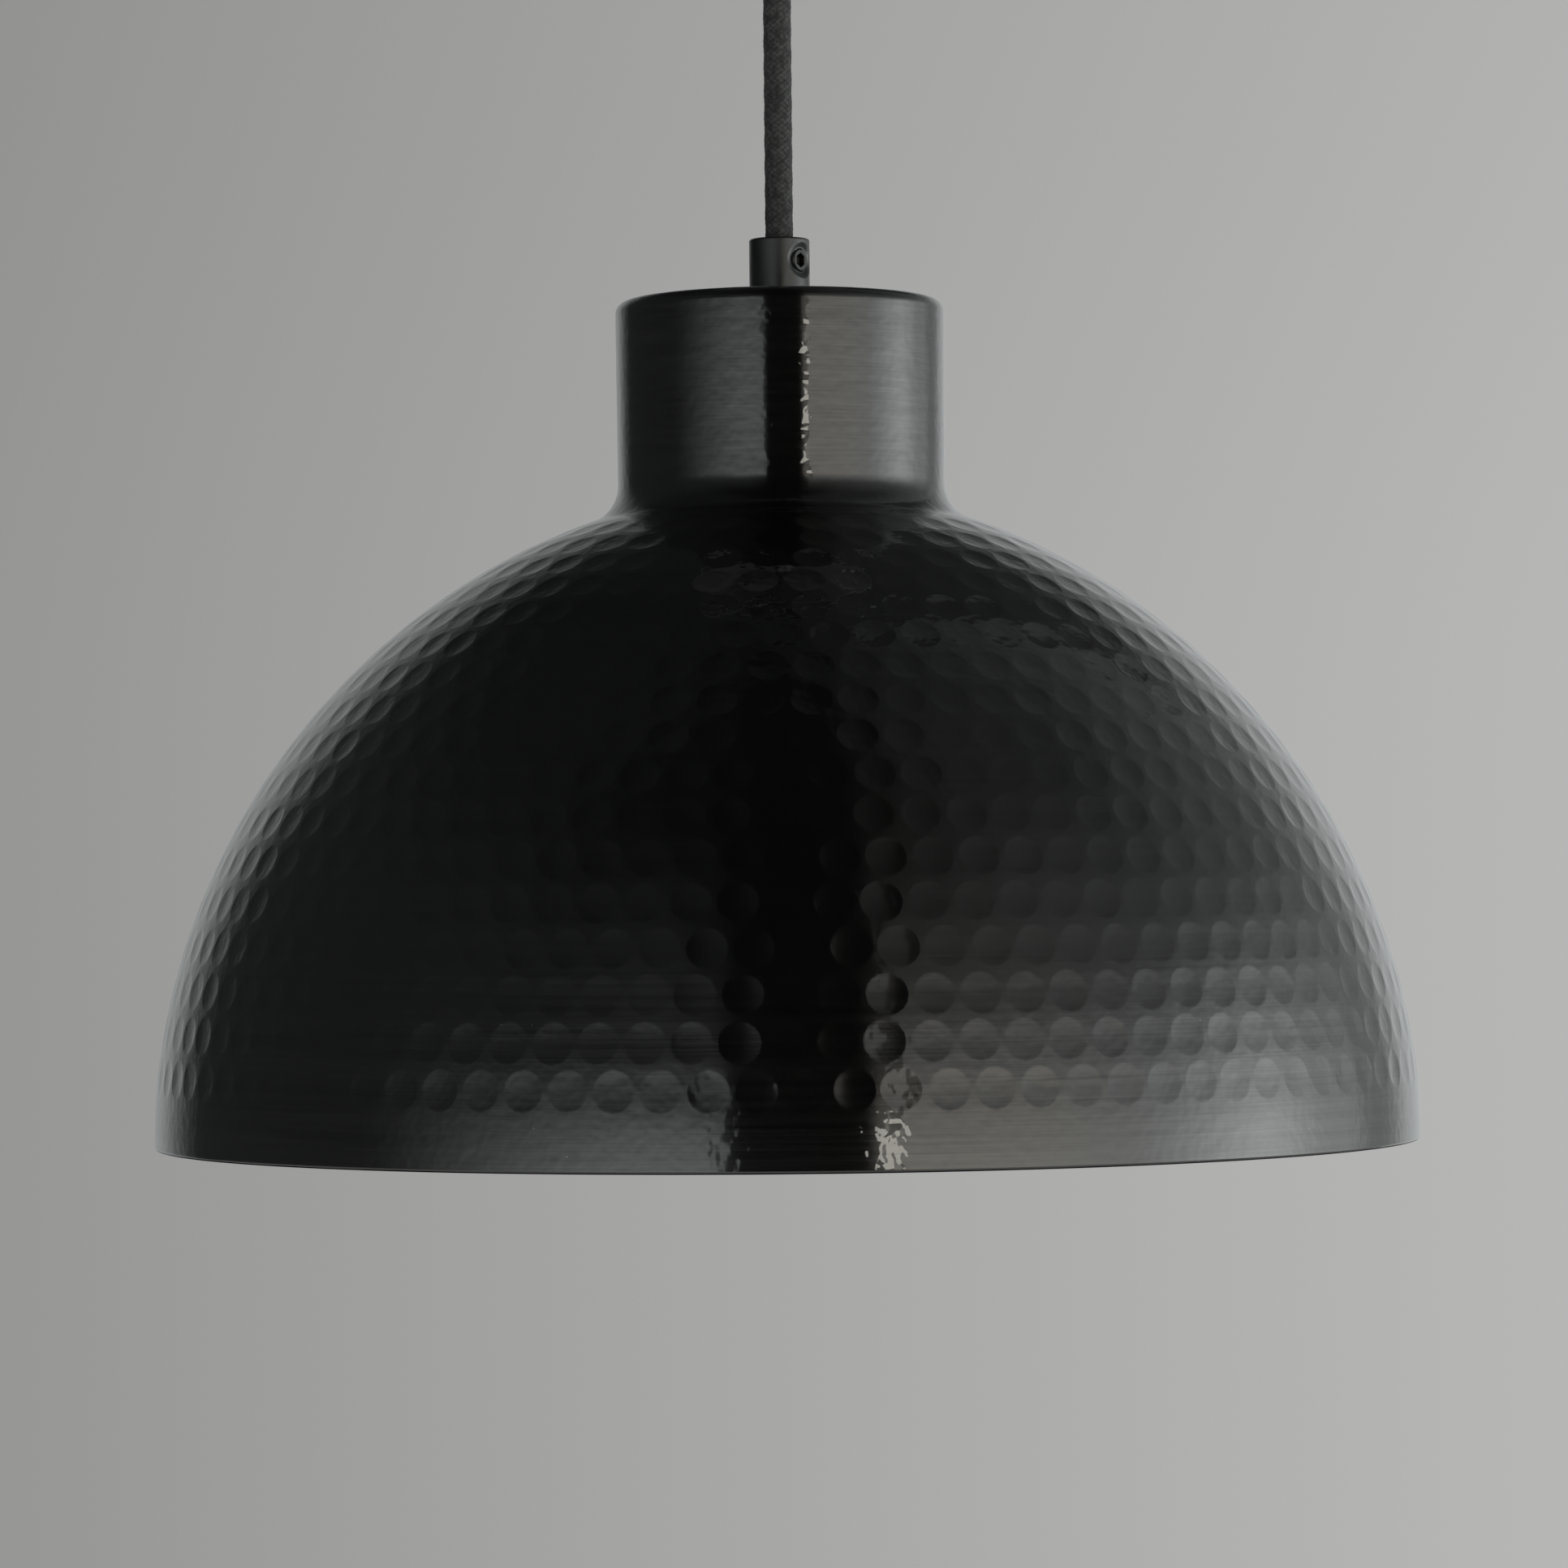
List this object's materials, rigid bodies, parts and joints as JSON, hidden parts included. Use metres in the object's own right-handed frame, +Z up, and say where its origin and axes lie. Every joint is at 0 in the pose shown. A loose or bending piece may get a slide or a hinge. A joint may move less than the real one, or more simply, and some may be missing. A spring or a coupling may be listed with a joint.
{
  "type": "pendant ceiling light",
  "caption": "Pendant ceiling light: hammered dark metal dome shade with a cylindrical neck, hung by a round textile cord from a cup-shaped ceiling rose.",
  "frame": {"origin": "on the ceiling, at the centre of the bracket's mounting face", "axes": "+Z up, out of the mounting face into the ceiling; the lamp hangs along -Z; +X to the right and +Y away from someone who faces the cord grip's set screw side"},
  "size_m": [0.32, 0.32, 0.346],
  "materials": {
    "shade_metal": "dark nickel sheet with hammered dimples, brushed round the axis under a glossy clear lacquer",
    "fitting_metal": "satin gunmetal plating",
    "screw_steel": "blackened steel",
    "cord_textile": "charcoal braided textile",
    "zinc_steel": "bright zinc plating",
    "brass": "turned and pressed brass",
    "bulb_cap_metal": "pressed thread, bare metal",
    "black_phenolic": "moulded phenolic, satin",
    "white_nylon": "moulded nylon",
    "ceramic": "glazed ceramic",
    "bulb_glass": "clear glass",
    "filament_phosphor": "yellow phosphor on thin rods",
    "wire_live": "brown insulation",
    "wire_neutral": "blue insulation",
    "wire_earth": "green insulation with a yellow stripe"
  },
  "bodies": {
    "ceiling": {"ceiling_bracket": "zinc_steel", "terminal_block": "white_nylon", "block_screw_1": "zinc_steel", "block_screw_2": "zinc_steel", "bracket_earth_screw": "brass", "terminal_sleeve_live": "brass", "terminal_sleeve_neutral": "brass", "terminal_sleeve_earth": "brass", "terminal_screw_live": "zinc_steel", "terminal_screw_neutral": "zinc_steel", "terminal_screw_earth": "zinc_steel"},
    "cover": {"rose_cover": "fitting_metal", "cover_screw_right": "fitting_metal", "cover_screw_left": "fitting_metal", "rose_grip": "fitting_metal", "rose_grip_screw": "screw_steel", "rose_nipple": "zinc_steel", "rose_washer": "zinc_steel", "rose_nut": "zinc_steel", "cord_tail_upper": "cord_textile", "rose_wire_live": "wire_live", "rose_wire_neutral": "wire_neutral", "rose_wire_earth": "wire_earth"},
    "cord": {"cord": "cord_textile"},
    "lamp": {"shade": "shade_metal", "lamp_grip": "fitting_metal", "lamp_grip_screw": "screw_steel", "lamp_nipple": "zinc_steel", "lamp_washer": "zinc_steel", "lamp_nut": "zinc_steel", "lampholder_cap": "black_phenolic", "lampholder_body": "black_phenolic", "contact_insert": "ceramic", "screw_shell": "brass", "centre_contact": "brass", "side_contact": "brass", "cord_tail_lower": "cord_textile", "holder_terminal_live": "brass", "holder_terminal_neutral": "brass", "holder_terminal_earth": "brass", "holder_screw_live": "zinc_steel", "holder_screw_neutral": "zinc_steel", "holder_screw_earth": "zinc_steel", "holder_wire_live": "wire_live", "holder_wire_neutral": "wire_neutral", "holder_wire_earth": "wire_earth"},
    "bulb": {"bulb_glass": "bulb_glass", "bulb_cap": "bulb_cap_metal", "bulb_insulator": "black_phenolic", "bulb_tip": "zinc_steel", "bulb_stem": "bulb_glass", "bulb_filament_1": "filament_phosphor", "bulb_filament_2": "filament_phosphor", "bulb_filament_3": "filament_phosphor", "bulb_filament_4": "filament_phosphor"}
  },
  "joints": [
    {"name": "cover_drop", "type": "slide", "parent": "ceiling", "child": "cover", "axis": [0, 0, -1], "range_m": [0, 0.04]},
    {"name": "cord_swing", "type": "hinge", "parent": "cover", "child": "cord", "pos_m": [0, 0, -0.0439], "axis": [0, 1, 0], "range_deg": [-20, 20]},
    {"name": "lamp_tilt", "type": "hinge", "parent": "cord", "child": "lamp", "pos_m": [0, 0, -0.1187], "axis": [1, 0, 0], "range_deg": [-10, 10]},
    {"name": "bulb_out", "type": "slide", "parent": "lamp", "child": "bulb", "axis": [0, 0, -1], "range_m": [0, 0.19]}
  ]
}
